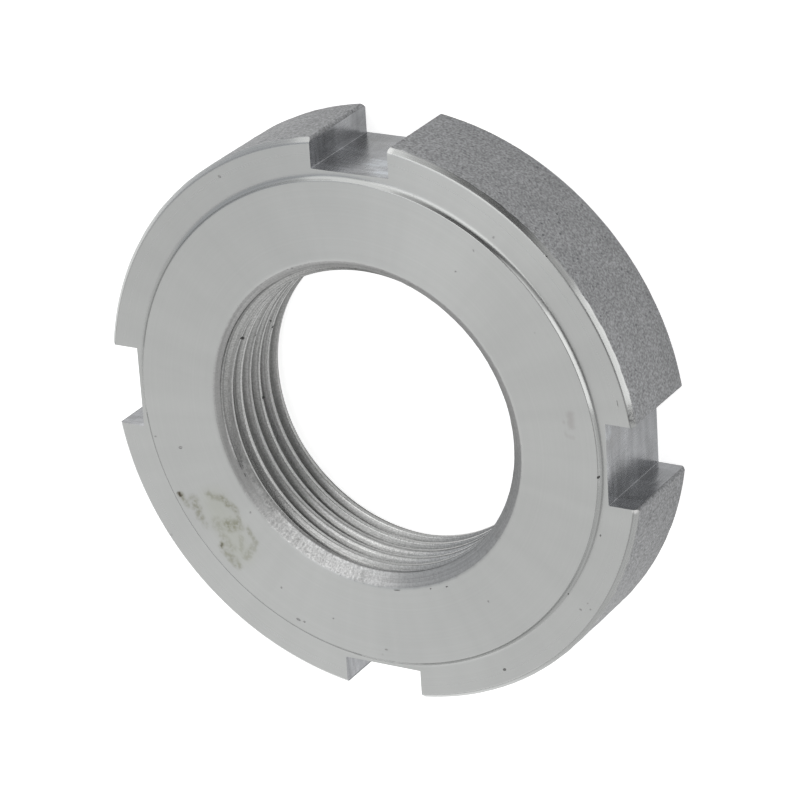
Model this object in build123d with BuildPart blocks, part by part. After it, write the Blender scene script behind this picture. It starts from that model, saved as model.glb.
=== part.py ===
from build123d import *
import os

# Slotted round lock nut for a bearing seat, turned from one piece of steel, in millimetres.
# It lies on its plain back face. Z is the thread axis and points out of the stepped front face.

# Thread: ISO metric, fine series. The bore wall is the cylinder that the thread's crests touch.
thread_major_diameter = 28.0
thread_pitch = 1.5
crest_loss_per_pitch = 1.0825     # ISO 68-1: smallest diameter = nominal diameter - 1.0825 pitches
bore_allowance = 0.3              # the bore is this much wider than the smallest diameter
mouth_relief = 0.3                # how far each mouth chamfer opens past the thread's roots

# Turned body
rim_diameter = 50.0
nut_height = 9.7
face_diameter = 43.0              # raised bearing face on the front
step_height = 0.4                 # height of the bearing face above the outer ring
step_foot_radius = 0.25           # left by the nose of the turning tool
face_edge_break = 0.06            # sharp edge of the bearing face, just deburred
front_rim_chamfer = 0.45
back_rim_chamfer = 0.45

# Slots for a hook spanner, milled straight through the rim with flat floors
slot_count = 4
slot_width = 7.2
slot_depth = 2.9
cutter_overrun = 2.0              # how far the milling cutter runs clear of the rim

bore_radius = (thread_major_diameter - crest_loss_per_pitch * thread_pitch + bore_allowance) / 2
mouth_radius = thread_major_diameter / 2 + mouth_relief
mouth_chamfer = mouth_radius - bore_radius
rim_radius = rim_diameter / 2
face_radius = face_diameter / 2
ring_height = nut_height - step_height
foot_radius = min(step_foot_radius, step_height - 2 * face_edge_break)
slot_floor_radius = rim_radius - slot_depth
slot_cut_length = slot_depth + cutter_overrun

with BuildPart() as lock_nut:
    # Half section of the turned blank: the outer ring, and the bearing face raised above it
    with BuildSketch(Plane.XZ):
        with Locations((bore_radius, 0)):
            Rectangle(rim_radius - bore_radius, ring_height, align=(Align.MIN, Align.MIN))
            Rectangle(face_radius - bore_radius, nut_height, align=(Align.MIN, Align.MIN))
    revolve(axis=Axis.Z)

    # The blank's six turned edges, from the bore outwards
    bore_edges, step_edges, rim_edges = lock_nut.edges().filter_by(GeomType.CIRCLE).group_by(SortBy.RADIUS)
    step_foot, face_edge = step_edges.sort_by(Axis.Z)
    back_rim_edge, front_rim_edge = rim_edges.sort_by(Axis.Z)
    fillet(step_foot, radius=foot_radius)
    chamfer(face_edge, length=face_edge_break)
    chamfer(front_rim_edge, length=front_rim_chamfer)
    chamfer(back_rim_edge, length=back_rim_chamfer)
    chamfer(bore_edges, length=mouth_chamfer)

    # Spanner slots, evenly spaced, the first on the X axis
    with BuildSketch(Plane.XY):
        with PolarLocations(slot_floor_radius + slot_cut_length / 2, slot_count):
            Rectangle(slot_cut_length, slot_width)
    extrude(amount=nut_height, mode=Mode.SUBTRACT)

lock_nut.part.label = "lock_nut"

os.makedirs("parts", exist_ok=True)
export_step(lock_nut.part, "parts/lock_nut.step")
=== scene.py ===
import math

import bpy
from mathutils import Matrix, Vector


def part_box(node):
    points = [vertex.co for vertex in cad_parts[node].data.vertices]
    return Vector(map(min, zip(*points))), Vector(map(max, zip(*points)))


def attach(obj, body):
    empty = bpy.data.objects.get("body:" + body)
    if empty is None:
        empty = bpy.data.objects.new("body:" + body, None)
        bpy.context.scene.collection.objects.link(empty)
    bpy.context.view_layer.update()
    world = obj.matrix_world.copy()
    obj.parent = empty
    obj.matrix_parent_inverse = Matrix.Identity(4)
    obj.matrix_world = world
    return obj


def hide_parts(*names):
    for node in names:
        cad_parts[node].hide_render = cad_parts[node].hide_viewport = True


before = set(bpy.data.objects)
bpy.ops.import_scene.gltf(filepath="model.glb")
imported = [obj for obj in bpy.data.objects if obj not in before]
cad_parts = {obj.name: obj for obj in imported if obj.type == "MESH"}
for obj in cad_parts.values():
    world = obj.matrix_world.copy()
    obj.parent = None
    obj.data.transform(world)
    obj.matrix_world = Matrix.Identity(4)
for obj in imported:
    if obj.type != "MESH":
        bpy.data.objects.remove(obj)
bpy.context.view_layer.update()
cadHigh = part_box("lock_nut")[1]

mm = 0.001                                   # sizes below are in millimetres, Blender works in metres
closeBy = 0.01                               # how near a point must be to the place that is looked for
white = (1, 1, 1, 1)

# the turned blank, as the lathe leaves it
blank = {
    "height": cadHigh.z / mm,                # from the plain back face to the bearing face
    "rimDiameter": 50.0,
    "faceDiameter": 42.8,                    # flat part of the raised bearing face
    "stepHeight": 0.4,
    "stepSlope": 59.0,                       # steepest part of the step, in degrees
    "footRadius": 0.6,                       # hollow at the foot of the step
    "shoulderRadius": 0.12,                  # round at its top
    "ringDiameter": 48.9,                    # flat part of the outer ring, out to the round
    "ringRound": 0.3,
    "chamferSlope": 45.0,                    # of the front chamfer, in degrees
    "rimRound": 0.12,
    "rimSlope": 75.0,                        # where that round leaves the rim
    "rimFlat": 0.05,                         # how far inside the rim the chamfer ends
    "rimChamfer": 0.45,                      # at the back, where the edge is plain
    "runOut": 2.0,                           # how far the rim's edges run on past the bar
    "boreDiameter": 26.0,                    # before threading
    "mouthDiameter": 29.1,
    "throatDiameter": 26.92,                 # where the countersink turns into the lead-in
    "throatDepth": 0.7,
    "leadIn": 62.0,                          # slope of the lead-in
    "backMouthDiameter": 28.6,
    "shoulderMargin": 0.15,                  # plain rings at both edges of the bearing face keep
    "mouthMargins": (0.35, 0.2),             # its shading flat
    "nickDepth": 0.07,                       # unevenness of the mouth's edge
    "nickSize": 0.45,
    "nickShare": 0.6,                        # how much of it the countersink has
    "arcSteps": 6,
    "countersinkSteps": 6,
    "turnSteps": 720,                        # facets in one turn
    "joinWithin": 0.0001,                    # nearer points of the finished nut are one point
    "crispAngle": 28.0,                      # edges sharper than this stay crisp
}

# the raw skin of the bar, left on the rim
rawSkin = {
    "overhang": 1.0,                         # stock left past each face before facing
    "rowHeight": 0.2,
    "hollowRadius": 10.0,
    "dip": 0.08,                             # deepest dip of the skin
    "dipSize": 1.0,
}

# the internal thread, right-handed
thread = {
    "pitch": 1.5,
    "crestDiameter": 26.68,
    "crestWidth": 0.34,
    "flankAngle": 30.0,                      # between a flank and the plane across the axis
    "rootRadius": 0.29,
    "rootSegments": 10,
    "crestRadius": 0.07,
    "crestSegments": 3,
    "firstCrest": 0.4,                       # height of a crest on the +X axis
    "turnsBelow": 2,                         # turns of the tool that start below that crest
    "turns": 9,
    "turnSteps": 240,
    "joinWithin": 0.0005,                    # nearer points are one point, where a turn meets the next
}

# the slots for a hook spanner
slots = {
    "count": 4,
    "width": 7.2,
    "depth": 2.9,
    "cornerRadius": 0.35,                    # where a slot wall meets the rim
    "cornerSegments": 4,
    "footRadius": 0.045,                     # where a slot wall meets the floor
    "footSegments": 3,
    "overrun": 2.0,
}


def deselectAll():
    if bpy.context.mode != "OBJECT":
        bpy.ops.object.mode_set(mode="OBJECT")
    bpy.ops.object.select_all(action="DESELECT")


def takeUp(obj):
    # makes one object the active and only selected one
    deselectAll()
    obj.select_set(True)
    bpy.context.view_layer.objects.active = obj


def editMesh(kind="VERT"):
    bpy.ops.object.mode_set(mode="EDIT")
    bpy.ops.mesh.select_mode(type=kind)


def objectMode():
    bpy.ops.object.mode_set(mode="OBJECT")


def selectPoints(obj, chosen):
    # leaves edit mode on, with only the points selected whose numbers are in the list
    takeUp(obj)
    editMesh()
    bpy.ops.mesh.select_all(action="DESELECT")
    objectMode()
    for index in chosen:
        obj.data.vertices[index].select = True
    editMesh()


def selectEdges(obj, wanted):
    # leaves edit mode on, with only the edges selected whose two ends pass the test
    takeUp(obj)
    editMesh("EDGE")
    bpy.ops.mesh.select_all(action="DESELECT")
    objectMode()
    points = obj.data.vertices
    for edge in obj.data.edges:
        edge.select = all(wanted(points[i].co / mm) for i in edge.vertices)
    bpy.ops.object.mode_set(mode="EDIT")


def closeAndTurnOut():
    bpy.ops.mesh.select_all(action="SELECT")
    bpy.ops.mesh.normals_make_consistent(inside=False)
    objectMode()


def finishedBy(obj, *materials):
    obj.data.materials.clear()
    for material in materials:
        obj.data.materials.append(material)
    return obj


def turnRing(name, section, steps):
    # turns a closed section, a list of (radius, height) in mm, round the Z axis
    deselectAll()
    radius, height = section[0]
    bpy.ops.mesh.primitive_circle_add(vertices=steps, radius=radius * mm, location=(0, 0, height * mm))
    ring = bpy.context.object
    ring.name = name
    bpy.ops.object.transform_apply(location=True, rotation=True, scale=True)
    editMesh()
    bpy.ops.mesh.select_all(action="SELECT")
    for nextRadius, nextHeight in section[1:]:
        lift = (0, 0, (nextHeight - height) * mm)
        bpy.ops.mesh.extrude_edges_move(TRANSFORM_OT_translate={"value": lift})
        widen = nextRadius / radius
        bpy.ops.transform.resize(value=(widen, widen, 1), center_override=(0, 0, nextHeight * mm))
        radius, height = nextRadius, nextHeight
    bpy.ops.mesh.select_all(action="DESELECT")
    bpy.ops.mesh.select_non_manifold()       # the first and the last ring
    bpy.ops.mesh.bridge_edge_loops()
    closeAndTurnOut()
    return ring


def roughen(obj, group, size, depth):
    # sinks the points of a vertex group unevenly, by up to the depth
    clouds = bpy.data.textures.new(group.name, "CLOUDS")
    clouds.noise_scale = size * mm
    clouds.noise_depth = 2
    dips = obj.modifiers.new("dips", "DISPLACE")
    dips.texture = clouds
    dips.texture_coords = "LOCAL"
    dips.vertex_group = group.name
    dips.mid_level = 1
    dips.strength = depth * mm
    takeUp(obj)
    bpy.ops.object.modifier_apply(modifier=dips.name)


def cut(body, tool, operation):
    # carries out one machining cut and throws the tool away
    takeUp(body)
    boolean = body.modifiers.new("cut", "BOOLEAN")
    boolean.operation = operation
    boolean.object = tool
    boolean.solver = "MANIFOLD"
    boolean.material_mode = "TRANSFER"
    bpy.ops.object.modifier_apply(modifier=boolean.name)
    bpy.data.objects.remove(tool)


def roughStock():
    # a length of bar whose skin dips unevenly below the rim's size
    radius, hollow = blank["rimDiameter"] / 2, rawSkin["hollowRadius"]
    top = blank["height"] + rawSkin["overhang"]
    bottom = -rawSkin["overhang"]
    rows = round((top - bottom) / rawSkin["rowHeight"])
    section = [(hollow, bottom)]
    section += [(radius, bottom + (top - bottom) * row / rows) for row in range(rows + 1)]
    section += [(hollow, top)]
    stock = turnRing("lockNut", section, blank["turnSteps"])
    between = (hollow + radius) / 2 * mm
    skin = stock.vertex_groups.new(name="skin")
    skin.add([v.index for v in stock.data.vertices if v.co.xy.length > between], 1, "REPLACE")
    roughen(stock, skin, rawSkin["dipSize"], rawSkin["dip"])
    return stock


def arc(centre, radius, start, end):
    # points of an arc in the section, from one slope of the surface to another, in degrees
    x, z = centre
    steps = blank["arcSteps"]
    slopes = [math.radians(start + (end - start) * step / steps) for step in range(steps + 1)]
    return [(x + radius * math.sin(slope), z + radius * math.cos(slope)) for slope in slopes]


def rimEdge(ring):
    # the front edge of the rim: a round, the chamfer, and a round into the outer ring
    chamferEnd = blank["rimDiameter"] / 2 - blank["rimFlat"]
    slope, rimSlope = blank["chamferSlope"], blank["rimSlope"]
    ringEnd = (blank["ringDiameter"] / 2, ring - blank["ringRound"])
    ringRound = arc(ringEnd, blank["ringRound"], slope, 0)
    rimRound = arc((0, 0), blank["rimRound"], rimSlope, slope)
    drop = (chamferEnd - ringRound[0][0]) * math.tan(math.radians(slope))
    dx = chamferEnd - rimRound[-1][0]
    dz = ringRound[0][1] - drop - rimRound[-1][1]
    rimRound = [(x + dx, z + dz) for x, z in rimRound]
    reach, steep = blank["runOut"], math.radians(rimSlope)
    low = (rimRound[0][0] + reach * math.cos(steep), rimRound[0][1] - reach * math.sin(steep))
    return [low] + rimRound + ringRound


def stepEdge(ring):
    # the hollow at the foot of the step, its slope and the round at its top
    degrees, slope = blank["stepSlope"], math.radians(blank["stepSlope"])
    foot, shoulder = blank["footRadius"], blank["shoulderRadius"]
    shoulderRound = arc((blank["faceDiameter"] / 2, blank["height"] - shoulder), shoulder, degrees, 0)
    footRise = foot * (1 - math.cos(slope))
    run = (shoulderRound[0][1] - ring - footRise) / math.tan(slope)
    footStart = shoulderRound[0][0] + run + foot * math.sin(slope)
    footHollow = [(footStart - x, ring + foot - z) for x, z in arc((0, 0), foot, 0, degrees)]
    return footHollow + shoulderRound


def turnedForm(turned, countersunk):
    # everything that the lathe turns, as one solid that is wider than the bar at the rim
    height, reach = blank["height"], blank["runOut"]
    ring = height - blank["stepHeight"]
    bore, mouth = blank["boreDiameter"] / 2, blank["mouthDiameter"] / 2
    throat, throatHeight = blank["throatDiameter"] / 2, height - blank["throatDepth"]
    backMouth = blank["backMouthDiameter"] / 2
    backEdge = blank["rimDiameter"] / 2 - blank["rimChamfer"]

    section = [(bore, backMouth - bore), (backMouth, 0), (backEdge, 0), (backEdge + reach, reach)]
    section += rimEdge(ring) + stepEdge(ring)
    section.append((blank["faceDiameter"] / 2 - blank["shoulderMargin"], height))
    section += [(mouth + margin, height) for margin in blank["mouthMargins"]]
    steps = blank["countersinkSteps"]
    for step in range(steps + 1):
        share = step / steps
        section.append((mouth + (throat - mouth) * share, height + (throatHeight - height) * share))
    drop = (throat - bore) * math.tan(math.radians(blank["leadIn"]))
    section.append((bore, throatHeight - drop))

    form = turnRing("turnedForm", section, blank["turnSteps"])
    finishedBy(form, turned, countersunk)
    for polygon in form.data.polygons:
        radius, level = polygon.center.xy.length / mm, polygon.center.z / mm
        polygon.material_index = 1 if radius < mouth and level > height / 2 else 0
    nicks = form.vertex_groups.new(name="nicks")
    for point in form.data.vertices:
        radius, level = point.co.xy.length / mm, point.co.z / mm
        onEdge = abs(radius - mouth) < closeBy
        inside = throat + closeBy < radius < mouth
        if level > height / 2 and (onEdge or inside):
            nicks.add([point.index], 1.0 if onEdge else blank["nickShare"], "REPLACE")
    roughen(form, nicks, blank["nickSize"], blank["nickDepth"])
    return form


def threadTool(threaded):
    # the core that the thread closes round: one pitch of its surface, carried up along the helix
    pitch = thread["pitch"]
    flank = math.radians(thread["flankAngle"])
    crest, crestHalf = thread["crestDiameter"] / 2, thread["crestWidth"] / 2
    root = crest + (pitch / 2 - crestHalf) / math.tan(flank)         # where the flanks would meet
    start = thread["firstCrest"] - thread["turnsBelow"] * pitch
    corners = [(crest, start), (crest, start + crestHalf), (root, start + pitch / 2)]
    corners += [(crest, start + pitch - crestHalf), (crest, start + pitch)]
    deselectAll()
    bpy.ops.mesh.primitive_plane_add(size=1)
    tool = bpy.context.object
    tool.name = "threadTool"
    editMesh()
    bpy.ops.mesh.select_all(action="SELECT")
    bpy.ops.mesh.merge(type="CENTER")        # a single point, drawn out into the profile
    bpy.ops.transform.translate(value=(corners[0][0] * mm, 0, corners[0][1] * mm))
    for (r0, z0), (r1, z1) in zip(corners, corners[1:]):
        along = ((r1 - r0) * mm, 0, (z1 - z0) * mm)
        bpy.ops.mesh.extrude_vertices_move(TRANSFORM_OT_translate={"value": along})
    crestOffset = thread["crestRadius"] * math.tan((math.pi / 2 - flank) / 2)
    rootOffset = thread["rootRadius"] / math.tan(flank)
    rounds = [(crest, crestOffset, thread["crestSegments"]), (root, rootOffset, thread["rootSegments"])]
    for radius, offset, segments in rounds:
        objectMode()
        rounded = []
        for point in tool.data.vertices:
            near, level = abs(point.co.x / mm - radius) < closeBy, point.co.z / mm
            if near and all(abs(level - end[1]) > closeBy for end in (corners[0], corners[-1])):
                rounded.append(point.index)
        selectPoints(tool, rounded)
        bpy.ops.mesh.bevel(offset=offset * mm, segments=segments, affect="VERTICES")
    objectMode()
    print("thread profile", len(tool.data.vertices), "points")
    screw = tool.modifiers.new("helix", "SCREW")
    screw.axis = "Z"
    screw.angle = math.tau
    screw.screw_offset = pitch * mm
    screw.iterations = thread["turns"]
    screw.steps = screw.render_steps = thread["turnSteps"]
    bpy.ops.object.modifier_apply(modifier=screw.name)
    editMesh()
    bpy.ops.mesh.select_all(action="SELECT")
    bpy.ops.mesh.remove_doubles(threshold=thread["joinWithin"] * mm)
    objectMode()
    middle = start + (thread["turns"] + 1) * pitch / 2
    for side in (-1, 1):                                     # both open ends run to a point on the axis
        takeUp(tool)
        editMesh()
        bpy.ops.mesh.select_all(action="DESELECT")
        bpy.ops.mesh.select_non_manifold(use_multi_face=False, use_non_contiguous=False)
        objectMode()
        openEnds = [point for point in tool.data.vertices if point.select]
        selectPoints(tool, [p.index for p in openEnds if side * (p.co.z / mm - middle) > 0])
        bpy.ops.mesh.extrude_edges_move()
        bpy.ops.mesh.merge(type="CENTER")
    closeAndTurnOut()
    return finishedBy(tool, threaded)


def slotTool(turn, milled, raw):
    # the sweep of a milling cutter through the rim, with the rounded corners that tumbling leaves
    radius, half = blank["rimDiameter"] / 2, slots["width"] / 2
    floor = radius - slots["depth"]
    corner = math.sqrt(radius ** 2 - half ** 2)              # where a slot wall meets the rim
    middle = (floor + corner) / 2
    overrun = slots["overrun"]
    low, high = -overrun, blank["height"] + overrun
    deselectAll()
    bpy.ops.mesh.primitive_plane_add(size=1, location=(middle * mm, 0, low * mm))
    tool = bpy.context.object
    tool.name = "slotTool"
    tool.scale = ((corner - floor) * mm, slots["width"] * mm, 1)
    bpy.ops.object.transform_apply(location=True, rotation=True, scale=True)
    selectEdges(tool, lambda p: p.x > corner - closeBy)
    bpy.ops.mesh.extrude_edges_move(TRANSFORM_OT_translate={"value": (overrun * mm, 0, 0)})
    for side in (-1, 1):
        selectEdges(tool, lambda p: p.x > corner - closeBy and abs(p.y - side * half) < closeBy)
        bpy.ops.mesh.extrude_edges_move(TRANSFORM_OT_translate={"value": (0, side * overrun * mm, 0)})
    bpy.ops.mesh.select_all(action="SELECT")
    bpy.ops.mesh.dissolve_limited()
    bpy.ops.mesh.extrude_region_move(TRANSFORM_OT_translate={"value": (0, 0, (high - low) * mm)})
    for side in (-1, 1):
        for x, rounded in ((corner, "corner"), (floor, "foot")):
            selectEdges(tool, lambda p: abs(p.x - x) < closeBy and abs(p.y - side * half) < closeBy)
            bpy.ops.mesh.bevel(offset=slots[rounded + "Radius"] * mm, segments=slots[rounded + "Segments"])
    closeAndTurnOut()
    finishedBy(tool, milled, raw)            # the tumbled corners look like the skin
    for polygon in tool.data.polygons:
        slanting = 0.05 < abs(polygon.normal.x) < 0.999
        polygon.material_index = 1 if slanting and polygon.center.x / mm > middle else 0
    tool.rotation_euler.z = turn
    takeUp(tool)
    bpy.ops.object.transform_apply(location=True, rotation=True, scale=True)
    return tool


# small helpers for shader trees: each returns the output that the next one reads

def addNode(tree, kind, inputs=(), **settings):
    node = tree.nodes.new(kind)
    for name, value in settings.items():
        setattr(node, name, value)
    for slot, value in dict(inputs).items():
        if isinstance(value, bpy.types.NodeSocket):
            tree.links.new(value, node.inputs[slot])
        else:
            node.inputs[slot].default_value = value
    return node


def sums(tree, operation, first, second=0.0, third=0.0, clamp=False):
    values = {0: first, 1: second, 2: third}
    return addNode(tree, "ShaderNodeMath", values, operation=operation, use_clamp=clamp).outputs[0]


def times(tree, *factors):
    product = factors[0]
    for factor in factors[1:]:
        product = sums(tree, "MULTIPLY", product, factor)
    return product


def vectorSums(tree, operation, first, second=(0, 0, 0)):
    return addNode(tree, "ShaderNodeVectorMath", {0: first, 1: second}, operation=operation).outputs[0]


def measure(tree, operation, first, second=(0, 0, 0)):
    values = {0: first, 1: second}
    return addNode(tree, "ShaderNodeVectorMath", values, operation=operation).outputs["Value"]


def axisPart(tree, vector, axis):
    return addNode(tree, "ShaderNodeSeparateXYZ", {0: vector}).outputs[axis]


def fade(tree, value, start, end, low=0.0, high=1.0, smooth=True):
    values = {"Value": value, "From Min": start, "From Max": end, "To Min": low, "To Max": high}
    kind = "SMOOTHSTEP" if smooth else "LINEAR"
    return addNode(tree, "ShaderNodeMapRange", values, interpolation_type=kind).outputs["Result"]


def blend(tree, share, low, high):
    # from low to high, evenly, as the share goes from 0 to 1
    return fade(tree, share, 0, 1, low, high, smooth=False)


def noise(tree, place, size, detail=2.0, roughness=0.5, stretch=(1, 1, 1)):
    scaled = vectorSums(tree, "MULTIPLY", place, tuple(s / size for s in stretch))
    values = {"Vector": scaled, "Scale": 1.0, "Detail": detail, "Roughness": roughness}
    return addNode(tree, "ShaderNodeTexNoise", values, noise_dimensions="3D").outputs["Fac"]


def mixColour(tree, factor, first, second, mode="MIX"):
    values = {"Factor": factor, 6: first, 7: second}
    return addNode(tree, "ShaderNodeMix", values, data_type="RGBA", blend_type=mode).outputs[2]


def tinted(tree, colour, brightness):
    # the colour, made lighter or darker by a factor
    values = {0: brightness, 1: brightness, 2: brightness}
    shade = addNode(tree, "ShaderNodeCombineColor", values).outputs[0]
    return mixColour(tree, 1.0, colour, shade, "MULTIPLY")


def glazed(tree, share, colour, tint):
    # the colour, as far as the share says seen through a coat of the tint
    return mixColour(tree, share, colour, mixColour(tree, 1.0, colour, tint, "MULTIPLY"))


def nutPosition(tree):
    # millimetres from the middle of the back face
    coordinates = addNode(tree, "ShaderNodeTexCoord")
    return vectorSums(tree, "MULTIPLY", coordinates.outputs["Object"], (1 / mm, 1 / mm, 1 / mm))


def laidFlat(tree, position):
    return vectorSums(tree, "MULTIPLY", position, (1, 1, 0))


def angleRound(tree, position):
    # angle round the axis, in radians, with its jump on the +X side
    y = times(tree, axisPart(tree, position, "Y"), -1)
    x = times(tree, axisPart(tree, position, "X"), -1)
    return sums(tree, "ARCTAN2", y, x)


def onSide(tree, outwards, side, start, end):
    # 1 where the surface lies on that side of the axis, with the cosines between which it fades in
    return fade(tree, measure(tree, "DOT_PRODUCT", outwards, side), start, end)


def newMetal(name):
    material = bpy.data.materials.new(name)
    material.use_nodes = True
    surface = material.node_tree.nodes["Principled BSDF"]
    surface.inputs["Metallic"].default_value = 1.0
    return material, material.node_tree, surface


def layOn(tree, surface, colour, roughness, relief, strength, depth):
    # links a finish to the shader, with its fine relief at a strength and a depth in mm
    tree.links.new(colour, surface.inputs["Base Color"])
    tree.links.new(roughness, surface.inputs["Roughness"])
    values = {"Strength": strength, "Distance": depth * mm, "Height": relief}
    bump = addNode(tree, "ShaderNodeBump", values)
    tree.links.new(bump.outputs[0], surface.inputs["Normal"])


def wobbled(tree, position, size, reach):
    # the position, pushed about sideways so that edges come out ragged
    scaled = vectorSums(tree, "MULTIPLY", position, (1 / size, 1 / size, 1 / size))
    values = {"Vector": scaled, "Scale": 1.0, "Detail": 3.0}
    push = addNode(tree, "ShaderNodeTexNoise", values).outputs["Color"]
    push = vectorSums(tree, "SUBTRACT", push, (0.5, 0.5, 0.5))
    push = vectorSums(tree, "MULTIPLY", push, (2 * reach, 2 * reach, 0))
    return vectorSums(tree, "ADD", position, push)


def strokes(tree, place, rows):
    # how strongly a point is covered by strokes, each with its start, end, width and strength
    covered = 0.0
    for start, end, width, strength in rows:
        along = Vector((end[0] - start[0], end[1] - start[1], 0))
        fromStart = vectorSums(tree, "SUBTRACT", place, (start[0], start[1], 0))
        share = measure(tree, "DOT_PRODUCT", fromStart, along / along.length_squared)
        share = sums(tree, "ADD", share, 0, clamp=True)
        values = {0: along, "Scale": share}
        nearest = addNode(tree, "ShaderNodeVectorMath", values, operation="SCALE").outputs[0]
        distance = measure(tree, "DISTANCE", fromStart, nearest)
        near = fade(tree, distance, 0.1 * width, width, strength, 0)
        covered = sums(tree, "MAXIMUM", near, covered)
    return covered


def marked(tree, colour, position, rows, markColour, core=0.5, patches=1.0):
    # lays spots on the colour, each with its place, size and strength, full out to a share of the size
    for place, size, strength in rows:
        near = fade(tree, measure(tree, "DISTANCE", position, place), core * size, size, strength, 0)
        colour = mixColour(tree, times(tree, near, patches), colour, markColour)
    return colour


def specks(tree, position, cell, size, share):
    # small round spots in a share of the cells of a grid, 1 inside and 0 outside
    scaled = vectorSums(tree, "MULTIPLY", position, (1 / cell, 1 / cell, 1 / cell))
    cells = addNode(tree, "ShaderNodeTexVoronoi", {"Vector": scaled, "Scale": 1.0})
    chosen = addNode(tree, "ShaderNodeSeparateColor", {0: cells.outputs["Color"]})
    present = sums(tree, "LESS_THAN", chosen.outputs[0], share)
    reach = times(tree, fade(tree, chosen.outputs[1], 0, 1, 0.5, 1.0), size / cell)
    near = sums(tree, "DIVIDE", cells.outputs["Distance"], reach)
    return times(tree, fade(tree, near, 0.5, 1.2, 1, 0), present)


# faces that the lathe leaves: fine rings, faint fans of light and a few specks
turnedSteel = {
    "colour": (0.455, 0.462, 0.455, 1),
    "roughness": 0.3,
    "roughnessSpread": 0.03,
    "anisotropy": 0.85,
    "relief": (0.15, 0.01),                  # strength, and depth in mm
    "ringSize": 0.14,
    "ringContrast": 0.022,
    "fanSize": 0.09,
    "cloudSize": 5.0,
    "cloudContrast": 0.02,
    "specks": (2.6, 0.16, 0.35),             # cell of the grid, size, and share of the cells that hold one
    "speckStrength": 0.45,
    "speckColour": (0.30, 0.30, 0.29, 1),
    "slopeContrast": 0.09,                   # of the rings on the step and the chamfer
    "slopePolish": 0.08,                     # how much smoother those are
    # bright spots at the slot corners, partly burnished, partly painted highlights of their rounded burrs:
    # place, size and strength
    "burnishedGlints": [((24.45, -3.7, 9.2), 0.4, 0.9), ((3.75, 24.45, 9.1), 0.5, 0.4),
                  ((3.4, 24.55, 9.0), 0.35, 0.4)],
    "burnishedGlintColour": (0.85, 0.85, 0.84, 1),
    "scuffed": [((24.5, 4.45, 9.0), 0.75, 0.9), ((24.35, 5.2, 9.1), 0.5, 0.5)],
    "scuffSize": 0.16,
    "scuffColour": (0.2, 0.2, 0.2, 1),
}

# a dried drop of oil on the bearing face, with the haze round it, grime in its thickest parts and
# smudges at the other side: start, end, width and strength of each stroke
oilStain = {
    "wobble": (0.7, 0.35),                   # size and reach of the ragged edges
    "blotchSize": 0.3,
    "dulling": 0.12,                         # how much rougher the steel is under it
    "tint": (0.67, 0.66, 0.555, 1),
    "haze": (0.95, 0.955, 0.905, 1),
    "strokes": [
        ((-18.75, -9.2), (-18.45, -9.7), 0.42, 0.9),
        ((-18.45, -9.7), (-18.0, -10.1), 0.59, 0.6),
        ((-17.4, -9.6), (-16.9, -11.1), 0.72, 0.8),
        ((-16.9, -11.1), (-16.4, -11.8), 0.52, 0.5),
        ((-15.9, -8.8), (-14.5, -8.95), 0.59, 0.6),
        ((-14.5, -8.95), (-13.3, -9.9), 0.55, 0.85),
        ((-13.3, -9.9), (-12.95, -10.9), 0.45, 0.7),
        ((-14.1, -11.4), (-13.2, -11.2), 0.91, 0.9),
        ((-15.4, -11.2), (-15.1, -11.8), 0.78, 0.5),
        ((-15.05, -13.6), (-14.9, -13.35), 0.4, 1.0),
        ((-14.8, -12.5), (-13.9, -13.6), 0.65, 0.5),
        ((-14.7, -14.0), (-13.4, -15.1), 0.65, 0.7),
        ((-12.1, -11.5), (-11.5, -12.6), 0.52, 0.65),
        ((-11.6, -12.9), (-12.6, -14.2), 0.52, 0.5),
        ((-13.0, -13.6), (-12.9, -12.4), 0.45, 0.35),
    ],
    "grime": [((-18.85, -9.15), (-18.7, -9.35), 0.26, 1.0), ((-15.0, -13.5), (-14.95, -13.4), 0.2, 0.5)],
    "grimeTint": (0.25, 0.22, 0.18, 1),
    "hazeStrokes": [((-15.2, -9.6), (-13.2, -13.4), 2.4, 1.0)],
    "smudges": [((19.2, 4.15), (19.27, 3.1), 0.5, 0.9), ((18.5, 3.45), (18.52, 3.35), 0.3, 0.6),
                ((18.75, 2.4), (19.35, 2.15), 0.35, 0.45)],
    "smudgeTint": (0.86, 0.835, 0.835, 1),
}


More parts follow.
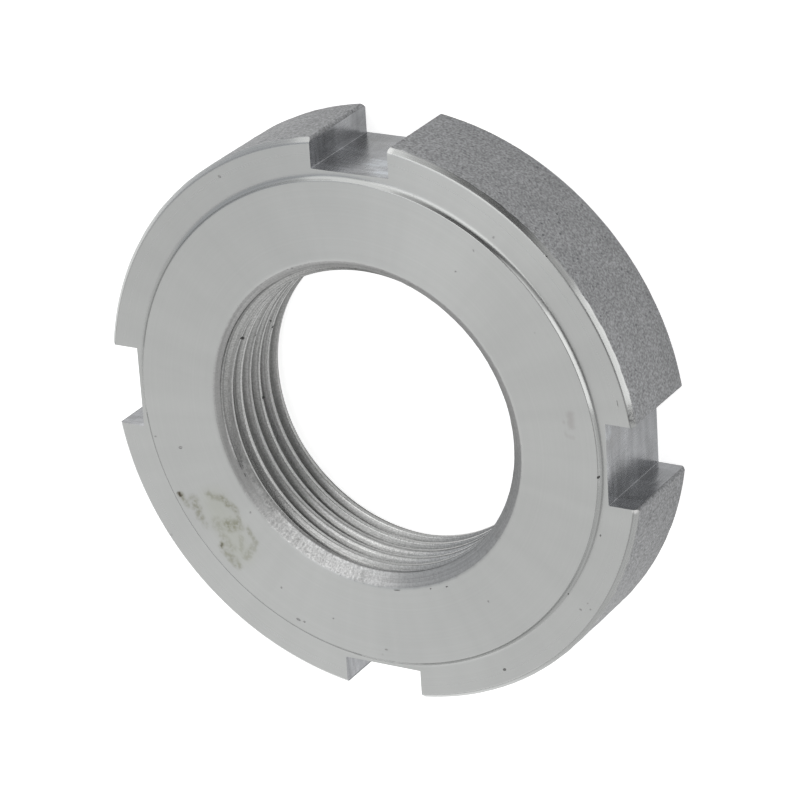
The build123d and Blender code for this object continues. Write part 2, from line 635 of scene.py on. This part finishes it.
def turnedFinish():
    material, tree, surface = newMetal("turnedSteel")
    position = nutPosition(tree)
    flat = laidFlat(tree, position)
    outwards, radius = vectorSums(tree, "NORMALIZE", flat), measure(tree, "LENGTH", flat)
    height = axisPart(tree, position, "Z")
    across = addNode(tree, "ShaderNodeCombineXYZ", {"X": radius, "Y": height}).outputs[0]
    rings = noise(tree, across, turnedSteel["ringSize"], detail=3)
    fans = noise(tree, outwards, turnedSteel["fanSize"])
    clouds = noise(tree, position, turnedSteel["cloudSize"], detail=3)
    facing = addNode(tree, "ShaderNodeNewGeometry").outputs["True Normal"]
    sloping = fade(tree, axisPart(tree, facing, "Z"), 0.99, 0.9)
    contrast = blend(tree, sloping, turnedSteel["ringContrast"], turnedSteel["slopeContrast"])
    ringShade = sums(tree, "MULTIPLY_ADD", fade(tree, rings, 0.2, 0.8, -1, 1), contrast, 1.0)
    soft = turnedSteel["cloudContrast"]
    softShade = fade(tree, sums(tree, "ADD", fans, clouds), 0.7, 1.3, 1 - soft, 1 + soft)
    colour = tinted(tree, turnedSteel["colour"], times(tree, ringShade, softShade))
    dots = times(tree, specks(tree, position, *turnedSteel["specks"]), turnedSteel["speckStrength"])
    colour = mixColour(tree, dots, colour, turnedSteel["speckColour"])
    # painted highlights, partly burnish, at the slot corners
    burnishedGlints = turnedSteel["burnishedGlints"]
    colour = marked(tree, colour, position, burnishedGlints, turnedSteel["burnishedGlintColour"], core=0.2)
    flecks = fade(tree, noise(tree, position, turnedSteel["scuffSize"]), 0.38, 0.6, 1.0, 0.25)
    flecks = times(tree, flecks, sloping)
    scuffed = turnedSteel["scuffed"]
    colour = marked(tree, colour, position, scuffed, turnedSteel["scuffColour"], 0.45, flecks)

    ragged = wobbled(tree, flat, *oilStain["wobble"])
    blotches = fade(tree, noise(tree, position, oilStain["blotchSize"], detail=3), 0.35, 0.62, 0.3, 1.0)
    ring = blank["height"] - blank["stepHeight"]
    onFront = sums(tree, "GREATER_THAN", height, ring - 0.1)
    stained = times(tree, strokes(tree, ragged, oilStain["strokes"]), blotches, onFront)
    hazed = times(tree, strokes(tree, ragged, oilStain["hazeStrokes"]), onFront)
    grimy = times(tree, strokes(tree, ragged, oilStain["grime"]), onFront)
    smudged = times(tree, strokes(tree, ragged, oilStain["smudges"]), onFront)
    layers = [(hazed, "haze"), (stained, "tint"), (grimy, "grimeTint"), (smudged, "smudgeTint")]
    for covered, tint in layers:
        colour = glazed(tree, covered, colour, oilStain[tint])

    rough, spread = turnedSteel["roughness"], turnedSteel["roughnessSpread"]
    matt = fade(tree, rings, 0.2, 0.8, rough - spread, rough + spread)
    matt = sums(tree, "SUBTRACT", matt, times(tree, sloping, turnedSteel["slopePolish"]))
    matt = sums(tree, "ADD", matt, times(tree, stained, oilStain["dulling"]))
    layOn(tree, surface, colour, matt, rings, *turnedSteel["relief"])
    roundAxis = vectorSums(tree, "CROSS_PRODUCT", (0, 0, 1), outwards)
    tree.links.new(roundAxis, surface.inputs["Tangent"])
    surface.inputs["Anisotropic"].default_value = turnedSteel["anisotropy"]
    surface.inputs["Anisotropic Rotation"].default_value = 0.25
    return material


# the raw skin of the bar: dull, grainy and pitted
rawSteel = {
    "colour": (0.225, 0.228, 0.232, 1),
    "roughness": (0.6, 0.42),                # in the hollows of the grain and on its tops
    "relief": (0.35, 0.05),                  # strength, and depth in mm
    "grainSize": 0.2,
    "grainShades": (0.72, 1.24),
    "patchSize": 2.4,
    "patchShades": (0.96, 1.04),
    "pits": (0.55, 0.15, 0.45),              # cell of the grid, size, and share of the cells that hold one
    "pitDepth": 0.6,
    "pitStrength": 0.75,
    "pitColour": (0.085, 0.085, 0.09, 1),
}


def rawFinish():
    material, tree, surface = newMetal("rawSteel")
    position = nutPosition(tree)
    grain = noise(tree, position, rawSteel["grainSize"])
    patches = noise(tree, position, rawSteel["patchSize"])
    grainShade = fade(tree, grain, 0.3, 0.7, *rawSteel["grainShades"], smooth=False)
    patchShade = fade(tree, patches, 0.3, 0.7, *rawSteel["patchShades"])
    colour = tinted(tree, rawSteel["colour"], times(tree, grainShade, patchShade))
    pits = specks(tree, position, *rawSteel["pits"])
    colour = mixColour(tree, times(tree, pits, rawSteel["pitStrength"]), colour, rawSteel["pitColour"])
    rough = fade(tree, grain, 0.3, 0.7, *rawSteel["roughness"])
    depth = sums(tree, "SUBTRACT", grain, times(tree, pits, rawSteel["pitDepth"]))
    layOn(tree, surface, colour, rough, depth, *rawSteel["relief"])
    return material


# the slots: the cutter's streaks run up the walls and across the floors
milledSteel = {
    # darker than bare milled steel: painted shade of the deep slots
    "colour": (0.272, 0.277, 0.286, 1),
    "roughness": 0.26,
    "roughnessSpread": 0.04,
    "relief": (0.12, 0.02),                  # strength, and depth in mm
    "streakSize": 0.16,
    "streakContrast": 0.03,
    "acrossSize": 0.45,
    "acrossContrast": (0.04, 0.2),           # where the cutter goes in, and where it leaves and smears most
    "passSize": 1.5,
    "passContrast": 0.14,
    "cloudSize": 2.2,
    "cloudContrast": 0.08,
    "grainSize": 0.13,
    "grainContrast": 0.07,
    "scratchSize": 0.25,
    "scratchStrength": 0.3,
    "scratchColour": (0.19, 0.19, 0.2, 1),
    "wobble": (1.1, 0.9),                    # size and reach of the ragged edges of the marks below
    # smeared spots on the floors, lit up as painted bluish highlights: place, size and strength
    "smearHighlights": [((1.1, 22.1, 6.4), 1.6, 0.8), ((2.7, 22.1, 8.2), 1.5, 1.0), ((22.1, 2.7, 8.8), 0.9, 0.5)],
    "smearHighlightColour": (0.43, 0.455, 0.48, 1),
    # painted shade: dark patches where the floors mirror the dark slot walls: place, size and strength
    "paintedShadePatches": [((22.1, 1.9, 8.0), 2.3, 0.8), ((-1.5, 22.1, 1.8), 2.6, 0.6)],
    "paintedShadeColour": (0.2, 0.2, 0.2, 1),
}


def milledFinish():
    material, tree, surface = newMetal("milledSteel")
    position = nutPosition(tree)
    upStreaks = noise(tree, position, milledSteel["streakSize"], detail=3, stretch=(1, 1, 0.07))
    acrossStreaks = noise(tree, position, milledSteel["acrossSize"], detail=3, stretch=(0.22, 0.22, 1))
    passes = noise(tree, position, milledSteel["passSize"], stretch=(0.2, 0.2, 1))
    clouds = noise(tree, position, milledSteel["cloudSize"])
    grain = noise(tree, position, milledSteel["grainSize"])
    smeared = fade(tree, axisPart(tree, position, "Z"), 4.0, 9.0, *milledSteel["acrossContrast"])
    brightness = sums(tree, "MULTIPLY_ADD", fade(tree, acrossStreaks, 0.3, 0.7, -1, 1), smeared, 1.0)
    for marks, name in ((upStreaks, "streak"), (grain, "grain"), (clouds, "cloud"), (passes, "pass")):
        contrast = milledSteel[name + "Contrast"]
        shade = fade(tree, marks, 0.28, 0.72, 1 - contrast, 1 + contrast)
        brightness = times(tree, brightness, shade)
    colour = tinted(tree, milledSteel["colour"], brightness)
    ragged = wobbled(tree, position, *milledSteel["wobble"])
    flecks = fade(tree, acrossStreaks, 0.4, 0.62, 0.35, 1.0)
    # painted shade patches, then smears lit as painted highlights, each with ragged edges
    for marks, tone in (("paintedShadePatches", "paintedShadeColour"), ("smearHighlights", "smearHighlightColour")):
        colour = marked(tree, colour, ragged, milledSteel[marks], milledSteel[tone], 0.3, flecks)
    slanted = addNode(tree, "ShaderNodeMapping", {0: position, "Rotation": (0.5, 0.5, 0)}).outputs[0]
    lines = noise(tree, slanted, milledSteel["scratchSize"], detail=1, stretch=(1, 1, 0.05))
    scratches = times(tree, fade(tree, lines, 0.7, 0.76), milledSteel["scratchStrength"])
    colour = mixColour(tree, scratches, colour, milledSteel["scratchColour"])
    rough, spread = milledSteel["roughness"], milledSteel["roughnessSpread"]
    matt = fade(tree, upStreaks, 0.25, 0.75, rough + spread, rough - spread)
    torn = sums(tree, "ADD", times(tree, upStreaks, 0.6), sums(tree, "ADD", acrossStreaks, grain))
    layOn(tree, surface, colour, matt, torn, *milledSteel["relief"])
    return material


# the thread: streaks along the groove, finely torn across
threadSteel = {
    "colour": (0.48, 0.482, 0.475, 1),
    "crestPaintedShade": 0.76,                      # painted shade: the crests darker, for the shaded floor that they mirror
    "rootPaintedShade": 0.62,                       # painted shade, darker towards the root of the groove
    "bottomPaintedShade": 0.7,                      # and painted shade once more at its bottom
    "roughness": 0.3,
    "roughnessSpread": 0.07,
    "relief": (0.3, 0.02),                   # strength, and depth in mm
    "streakSize": 0.17,
    "streakShades": (0.8, 1.18),
    "grainSize": 0.14,
    "grainShades": (0.84, 1.14),
    # dark spots, painted shade in nicks of the crests: place, size and strength
    "darkSpots": [((-12.1, 5.66, 8.4), 0.2, 0.9), ((-12.63, 5.19, 7.4), 0.2, 0.9),
             ((-13.69, -2.1, 3.15), 0.15, 0.6), ((-12.6, 5.0, 2.88), 0.13, 0.8),
             ((-12.65, 4.35, 2.62), 0.13, 0.8), ((-12.5, 4.8, 5.6), 0.18, 0.9)],
    "darkSpotColour": (0.05, 0.05, 0.048, 1),
}


def threadFinish():
    material, tree, surface = newMetal("threadSteel")
    position = nutPosition(tree)
    radius = measure(tree, "LENGTH", laidFlat(tree, position))
    angle, height = angleRound(tree, position), axisPart(tree, position, "Z")
    climb = sums(tree, "MULTIPLY_ADD", angle, -thread["pitch"] / math.tau, height)   # level along the helix
    values = {"X": radius, "Y": climb, "Z": times(tree, angle, 1.2)}
    across = addNode(tree, "ShaderNodeCombineXYZ", values).outputs[0]
    streaks = noise(tree, across, threadSteel["streakSize"], stretch=(1, 1, 0.06))
    grain = noise(tree, position, threadSteel["grainSize"])
    brightness = times(tree, fade(tree, streaks, 0.32, 0.68, *threadSteel["streakShades"]),
                       fade(tree, grain, 0.34, 0.66, *threadSteel["grainShades"]))
    closedIn = fade(tree, height, 8.55, 8.8, 1, 0)           # not where the groove runs out at the mouth
    # painted shade deep in the groove and at its bottom
    shadedRoot = times(tree, fade(tree, radius, 13.45, 13.85), closedIn)
    brightness = times(tree, brightness, blend(tree, shadedRoot, 1, threadSteel["rootPaintedShade"]))
    shadedBottom = times(tree, fade(tree, radius, 13.84, 13.96), fade(tree, height, 9.1, 9.3, 1, 0.7))
    brightness = times(tree, brightness, blend(tree, shadedBottom, 1, threadSteel["bottomPaintedShade"]))
    # painted shade on the crests
    crest = thread["crestDiameter"] / 2
    shadedCrest = fade(tree, radius, crest + 0.02, crest + 0.08, threadSteel["crestPaintedShade"], 1)
    colour = tinted(tree, threadSteel["colour"], times(tree, brightness, shadedCrest))
    # painted shade in nicks of the crests
    colour = marked(tree, colour, position, threadSteel["darkSpots"], threadSteel["darkSpotColour"])
    rough, spread = threadSteel["roughness"], threadSteel["roughnessSpread"]
    matt = fade(tree, streaks, 0.25, 0.75, rough + spread, rough - spread)
    torn = sums(tree, "ADD", streaks, times(tree, grain, 0.7))
    layOn(tree, surface, colour, matt, torn, *threadSteel["relief"])
    return material


# the countersink at the mouth: chattered and frosty. Each side has a direction, and the cosines
# between which it fades in.
countersunkSteel = {
    "colour": (0.58, 0.58, 0.575, 1),
    "darkColour": (0.27, 0.27, 0.265, 1),
    "roughness": 0.5,
    "roughnessSpread": 0.1,
    "relief": (0.4, 0.03),                   # strength, and depth in mm
    "frostSize": 0.16,
    "frostContrast": (0.07, 0.2),            # on the smoother side, and on the chattered one
    "chatterSize": 0.014,
    "chatterContrast": (0.02, 0.12),
    "lineSize": 0.11,
    "lineContrast": (0.13, 0.05),
    "smoothSidePaintedShade": 0.74,                     # painted shade over the smoother side; the chattered side stays lighter
    "leadInShade": 0.7,
    "chatteredSide": ((-0.42, -0.91, 0), 0.8, 0.97),
    "smearedSide": ((-0.88, -0.47, 0), 0.9, 0.985),
    # the cleaner, sharper-cut side, tinted with a painted cool reflection
    "cleanReflectingSide": ((0.77, -0.64, 0), 0.7, 0.82),
    "coolReflectionTint": (0.86, 0.867, 0.875, 1),
    "patchSize": 0.9,
    "patchStrength": 0.85,
    # how much darker the whole of that side is
    "sideDarkening": 0.3,
    "blotchSize": 1.1,
    "blotchStrength": 0.4,
}


def countersunkFinish():
    material, tree, surface = newMetal("countersunkSteel")
    steel = countersunkSteel
    position = nutPosition(tree)
    flat = laidFlat(tree, position)
    outwards, radius = vectorSums(tree, "NORMALIZE", flat), measure(tree, "LENGTH", flat)
    frost = noise(tree, position, steel["frostSize"], detail=3, roughness=0.65)
    chatter = noise(tree, outwards, steel["chatterSize"])
    values = {"X": radius, "Y": axisPart(tree, position, "Z"), "Z": angleRound(tree, position)}
    across = addNode(tree, "ShaderNodeCombineXYZ", values).outputs[0]
    lines = noise(tree, across, steel["lineSize"], stretch=(1, 1, 0.12))
    chattered = onSide(tree, outwards, *steel["chatteredSide"])
    colour = steel["colour"]
    for marks, name in ((frost, "frost"), (chatter, "chatter"), (lines, "line")):
        contrast = blend(tree, chattered, *steel[name + "Contrast"])
        shade = sums(tree, "MULTIPLY_ADD", fade(tree, marks, 0.27, 0.73, -1, 1), contrast, 1.0)
        colour = tinted(tree, colour, shade)
    # painted shade over the smoother side; the chattered side is left lighter, as painted light
    colour = tinted(tree, colour, blend(tree, chattered, steel["smoothSidePaintedShade"], 1.0))
    # painted cool reflection on the cleaner side
    colour = glazed(tree, onSide(tree, outwards, *steel["cleanReflectingSide"]), colour, steel["coolReflectionTint"])
    colour = tinted(tree, colour, fade(tree, radius, 13.5, 13.4, 1, steel["leadInShade"]))
    # smeared patches near the throat, and the whole of that side a little darker
    smearedSide = onSide(tree, outwards, *steel["smearedSide"])
    uneven = sums(tree, "ADD", radius, fade(tree, frost, 0.3, 0.7, -0.15, 0.15))
    nearThroat = fade(tree, uneven, 13.9, 13.6)
    patches = noise(tree, position, steel["patchSize"], detail=3, roughness=0.6)
    patches = fade(tree, patches, 0.42, 0.58, 0.3, 1)
    smeared = times(tree, smearedSide, nearThroat, patches, steel["patchStrength"])
    smeared = sums(tree, "MAXIMUM", smeared, times(tree, smearedSide, steel["sideDarkening"]))
    blotches = noise(tree, position, steel["blotchSize"], detail=3, roughness=0.6)
    blotches = fade(tree, blotches, 0.6, 0.7, 0, steel["blotchStrength"])
    colour = mixColour(tree, sums(tree, "MAXIMUM", blotches, smeared), colour, steel["darkColour"])
    rough, spread = steel["roughness"], steel["roughnessSpread"]
    matt = fade(tree, frost, 0.25, 0.75, rough + spread, rough - spread)
    torn = sums(tree, "ADD", frost, times(tree, chatter, 0.25))
    layOn(tree, surface, colour, matt, torn, *steel["relief"])
    return material


# bare metal in a dent, and darker spots in the deeper ones, which on the thread's crests are painted shade
# in the nicks: place, size and strength
dentSteel = {
    "colour": (0.34, 0.34, 0.335, 1),
    "roughness": 0.45,
    "grainSize": 0.1,
    "grainShades": (0.75, 1.2),
    "darkSpots": [((21.45, -1.02, 9.55), 0.4, 0.2), ((11.72, -20.37, 9.25), 0.35, 0.6),
             ((21.24, -6.37, 9.28), 0.3, 0.4), ((-12.08, 5.76, 8.5), 0.4, 1.0),
             ((-13.27, -1.71, 4.05), 0.4, 0.4), ((-12.63, 4.35, 2.6), 0.4, 0.8)],
    "darkSpotColour": (0.1, 0.1, 0.095, 1),
}


def dentFinish():
    material, tree, surface = newMetal("dentSteel")
    position = nutPosition(tree)
    grain = noise(tree, position, dentSteel["grainSize"])
    colour = tinted(tree, dentSteel["colour"], fade(tree, grain, 0.3, 0.7, *dentSteel["grainShades"]))
    # darker spots in the deeper dents; in the nicks of the crests, painted shade
    colour = marked(tree, colour, position, dentSteel["darkSpots"], dentSteel["darkSpotColour"])
    tree.links.new(colour, surface.inputs["Base Color"])
    surface.inputs["Roughness"].default_value = dentSteel["roughness"]
    return material


# dents from handling: middle, then half length, half width and depth in mm, and the turn in degrees
dents = {
    "onFace": [
        ((-18.3, -4.83), (0.20, 0.14, 0.042), 20),
        ((-9.28, -16.43), (0.11, 0.08, 0.028), 70),
        ((-7.82, -19.19), (0.22, 0.12, 0.042), -20),
        ((-7.25, -19.3), (0.12, 0.09, 0.035), 10),
        ((-4.33, -18.44), (0.09, 0.07, 0.028), 40),
        ((0.68, -20.43), (0.15, 0.08, 0.028), 0),
        ((10.78, -14.05), (0.11, 0.08, 0.028), -50),
        ((11.23, 17.13), (0.12, 0.06, 0.021), 110),
        ((9.48, 15.09), (0.09, 0.07, 0.021), 30),
        ((-11.79, -9.81), (0.11, 0.08, 0.028), 50),
        ((-20.75, -4.2), (0.11, 0.08, 0.028), 10),
    ],
    "onStep": [
        ((21.45, -1.02), (0.15, 0.11, 0.17), 60),
    ],
    "onRing": [
        ((11.72, -20.37), (0.17, 0.12, 0.045), 35),
        ((19.11, -13.43), (0.12, 0.09, 0.03), -30),
        ((19.78, -12.76), (0.08, 0.06, 0.02), 20),
        ((20.03, -13.26), (0.09, 0.07, 0.024), 50),
        ((18.07, -12.17), (0.1, 0.08, 0.09), 60),
        ((21.24, -6.37), (0.11, 0.07, 0.03), 75),
        ((-12.4, 20.31), (0.18, 0.12, 0.035), 150),
        ((12.88, 18.31), (0.12, 0.08, 0.028), 60),
        ((23.28, 5.57), (0.30, 0.04, 0.035), 100),
    ],
    "onRimEdge": [
        ((17.52, 17.3), (0.08, 0.06, 0.1), 45),
    ],
    "onMouthEdge": [
        ((-5.85, 13.2), (0.16, 0.1, 0.09), 24),
        ((-6.3, 13.05), (0.1, 0.07, 0.06), 26),
        ((-8.95, 11.3), (0.15, 0.1, 0.08), 38),
        ((2.1, -14.6), (0.34, 0.06, 0.06), 8),
        ((5.35, -13.87), (0.1, 0.07, 0.06), 21),
        ((6.9, -13.4), (0.14, 0.07, 0.06), 27),
    ],
    "onFirstCrest": [((-12.08, 5.76), (0.13, 0.13, 0.21), -25)],
    "onFourthCrest": [((-13.27, -1.71), (0.14, 0.16, 0.17), 7)],
    "onLastCrest": [((-12.63, 4.35), (0.12, 0.12, 0.15), -20)],
}


def dentTool(dented):
    # one flattened ball for each dent, sunk to its middle
    deselectAll()
    height = blank["height"]
    ring = height - blank["stepHeight"]
    levels = {
        "onFace": height,
        "onStep": height - 0.1,
        "onRing": ring,
        "onRimEdge": ring - 0.12,
        "onMouthEdge": height - 0.03,
        "onFirstCrest": 8.5,
        "onFourthCrest": 4.05,
        "onLastCrest": 2.6,
    }
    balls = []
    for place, rows in dents.items():
        for (x, y), size, turn in rows:
            at = (x * mm, y * mm, levels[place] * mm)
            bpy.ops.mesh.primitive_ico_sphere_add(subdivisions=3, radius=1, location=at)
            ball = bpy.context.object
            ball.scale = [side * mm for side in size]
            ball.rotation_euler.z = math.radians(turn)
            balls.append(ball)
    for ball in balls:
        ball.select_set(True)
    bpy.context.view_layer.objects.active = balls[0]
    bpy.ops.object.join()
    tool = bpy.context.object
    tool.name = "dentTool"
    bpy.ops.object.transform_apply(location=True, rotation=True, scale=True)
    return finishedBy(tool, dented)


def buildNut():
    raw, milled = rawFinish(), milledFinish()
    nut = finishedBy(roughStock(), raw)
    print("rough stock", len(nut.data.vertices), "points")
    cut(nut, turnedForm(turnedFinish(), countersunkFinish()), "INTERSECT")
    print("turned", len(nut.data.polygons), "faces")
    cut(nut, threadTool(threadFinish()), "DIFFERENCE")
    print("threaded", len(nut.data.polygons), "faces")
    for index in range(slots["count"]):
        cut(nut, slotTool(math.tau * index / slots["count"], milled, raw), "DIFFERENCE")
    cut(nut, dentTool(dentFinish()), "DIFFERENCE")
    finishes = [material.name for material in nut.data.materials]
    print("slotted and dented", len(nut.data.polygons), "faces, finishes", finishes)
    takeUp(nut)
    editMesh()
    bpy.ops.mesh.select_all(action="SELECT")
    bpy.ops.mesh.remove_doubles(threshold=blank["joinWithin"] * mm)      # the cuts leave doubled points
    closeAndTurnOut()
    bpy.ops.object.shade_smooth_by_angle(angle=math.radians(blank["crispAngle"]))
    nut.vertex_groups.clear()
    return nut


# floor and light

studio = {
    "floorColour": (0.8, 0.8, 0.8, 1),
    "floorSize": 4.0,                        # metres
    "floorGap": 0.02,                        # keeps the floor out of the plane of the nut's back
    "floorGlow": 0.72,                       # share of the floor's white that no shadow dims
    "floorGlowInSteel": 0.64,                # the same, as the steel mirrors it near the nut
    "farGlowInSteel": 0.15,                  # and far from it
    "glowFade": (0.05, 0.3),                 # metres from the nut between which it falls off
    "tentColour": (0.78, 0.78, 0.78, 1),
}

# soft boxes round the nut: place in degrees, distance, width and height in metres, brightness
softBoxes = {
    "keyBox": {"azimuth": 235, "elevation": 52.5, "roll": 0,
               "distance": 0.8, "size": (0.8, 0.95), "level": 0.555},
    "leftBox": {"azimuth": 100, "elevation": 66, "roll": 0,
                "distance": 0.7, "size": (0.42, 0.56), "level": 1.15},
    "rightBox": {"azimuth": 14, "elevation": 20, "roll": 4,
                 "distance": 0.7, "size": (0.45, 0.56), "level": 1.0},
    "lowBox": {"azimuth": 45, "elevation": 4, "roll": 0,
               "distance": 0.7, "size": (0.33, 0.34), "level": 0.66},
    "sideBox": {"azimuth": 119, "elevation": 18, "roll": -8,
                "distance": 0.7, "size": (0.4, 0.85), "level": 0.54},
}

# what the tent's even colour is multiplied by, from one angle to another in degrees, with soft edges
tentParts = {
    "cameraGap": {"azimuth": (54, 90), "elevation": (-20, 54), "edge": 9, "colour": (0.14, 0.14, 0.14, 1)},
    "roof": {"azimuth": (-400, 400), "elevation": (38, 120), "edge": 8, "colour": (0.58, 0.58, 0.58, 1)},
    "roofSeam": {"azimuth": (-20, 72), "elevation": (52, 73), "edge": 8, "colour": (0.3, 0.3, 0.3, 1)},
    "coolSide": {"azimuth": (140, 200), "elevation": (-40, 38), "edge": 12, "colour": (0.77, 0.79, 0.83, 1)},
    "dimSide": {"azimuth": (-118, -66), "elevation": (-30, 16), "edge": 12, "colour": (0.86, 0.86, 0.86, 1)},
    "coolTop": {"azimuth": (140, 190), "elevation": (42, 78), "edge": 8, "colour": (1.25, 1.3, 1.4, 1)},
}

# where the camera stands, round the point that it looks at
cameraPlace = {
    "lens": 183.42,
    "sensor": 36.0,
    "nearest": 0.01,                         # metres
    "aim": (0.741, 0.567, 4.85),
    "azimuth": 40.308,                       # degrees from +X towards +Y
    "elevation": 52.507,
    "distance": 339.485,
    "roll": -127.651,                        # the nut stands on its rim in the picture
}


def makeFloor():
    deselectAll()
    bpy.ops.mesh.primitive_plane_add(size=studio["floorSize"], location=(0, 0, -studio["floorGap"] * mm))
    floor = bpy.context.object
    floor.name = "floor"
    material = bpy.data.materials.new("whiteFloor")
    material.use_nodes = True
    tree = material.node_tree
    surface = tree.nodes["Principled BSDF"]
    surface.inputs["Base Color"].default_value = studio["floorColour"]
    surface.inputs["Roughness"].default_value = 1.0
    surface.inputs["Specular IOR Level"].default_value = 0.0
    surface.inputs["Emission Color"].default_value = white
    rays = addNode(tree, "ShaderNodeLightPath")
    inSteel = sums(tree, "MAXIMUM", rays.outputs["Is Glossy Ray"], rays.outputs["Is Transmission Ray"])
    seen = times(tree, rays.outputs["Is Camera Ray"], studio["floorGlow"])
    coordinates = addNode(tree, "ShaderNodeTexCoord")
    away = measure(tree, "LENGTH", coordinates.outputs["Object"])
    near, far = studio["glowFade"]
    glow = fade(tree, away, near, far, studio["floorGlowInSteel"], studio["farGlowInSteel"])
    mirrored = times(tree, inSteel, glow)
    tree.links.new(sums(tree, "ADD", seen, mirrored), surface.inputs["Emission Strength"])
    floor.data.materials.append(material)


def direction(azimuth, elevation):
    a, e = math.radians(azimuth), math.radians(elevation)
    return Vector((math.cos(e) * math.cos(a), math.cos(e) * math.sin(a), math.sin(e)))


def faceFrom(obj, towards, roll):
    # turns a lamp or camera that stands in that direction towards the middle, and rolls it
    rolled = Matrix.Rotation(math.radians(roll), 3, "Z")
    obj.rotation_mode = "QUATERNION"
    obj.rotation_quaternion = (towards.to_track_quat("Z", "Y").to_matrix() @ rolled).to_quaternion()


def makeTent():
    # an even tent with lighter and darker parts, which the steel mirrors, and white behind the nut
    world = bpy.data.worlds.new("tent")
    bpy.context.scene.world = world
    world.use_nodes = True
    tree = world.node_tree
    background = tree.nodes["Background"]
    rays = addNode(tree, "ShaderNodeLightPath")
    coordinates = addNode(tree, "ShaderNodeTexCoord")
    towards = vectorSums(tree, "NORMALIZE", coordinates.outputs["Generated"])
    azimuth = sums(tree, "ARCTAN2", axisPart(tree, towards, "Y"), axisPart(tree, towards, "X"))
    azimuth = sums(tree, "DEGREES", azimuth)
    elevation = sums(tree, "DEGREES", sums(tree, "ARCSINE", axisPart(tree, towards, "Z")))
    colour = studio["tentColour"]
    for part in tentParts.values():
        inside = 1.0
        for angle, (start, end) in ((azimuth, part["azimuth"]), (elevation, part["elevation"])):
            rise = fade(tree, angle, start - part["edge"], start + part["edge"])
            fall = fade(tree, angle, end - part["edge"], end + part["edge"], 1, 0)
            inside = times(tree, rise, fall, inside)
        shade = mixColour(tree, inside, white, part["colour"])
        colour = mixColour(tree, 1.0, colour, shade, "MULTIPLY")
    colour = mixColour(tree, rays.outputs["Is Camera Ray"], colour, white)
    tree.links.new(colour, background.inputs["Color"])
    background.inputs["Strength"].default_value = 1.0


def makeSoftBox(name, box):
    towards = direction(box["azimuth"], box["elevation"])
    data = bpy.data.lights.new(name, "AREA")
    data.shape = "RECTANGLE"
    data.size, data.size_y = box["size"]
    data.energy = box["level"] * math.pi * data.size * data.size_y
    lamp = bpy.data.objects.new(name, data)
    bpy.context.scene.collection.objects.link(lamp)
    lamp.location = towards * box["distance"]
    faceFrom(lamp, towards, box["roll"])
    lamp.visible_camera = False


def makeCamera():
    towards = direction(cameraPlace["azimuth"], cameraPlace["elevation"])
    data = bpy.data.cameras.new("camera")
    data.lens = cameraPlace["lens"]
    data.sensor_width = cameraPlace["sensor"]
    data.clip_start = cameraPlace["nearest"]
    camera = bpy.data.objects.new("camera", data)
    bpy.context.scene.collection.objects.link(camera)
    camera.location = Vector(cameraPlace["aim"]) * mm + towards * cameraPlace["distance"] * mm
    faceFrom(camera, towards, cameraPlace["roll"])
    bpy.context.scene.camera = camera


lockNut = buildNut()
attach(lockNut, "root")
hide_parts("lock_nut")
makeFloor()
makeTent()
for name, box in softBoxes.items():
    makeSoftBox(name, box)
makeCamera()
print("floor, tent, camera and", len(softBoxes), "soft boxes")

bpy.context.scene.view_settings.view_transform = "Standard"
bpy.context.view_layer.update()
lockNut.data.calc_loop_triangles()
print("triangles", len(lockNut.data.loop_triangles))
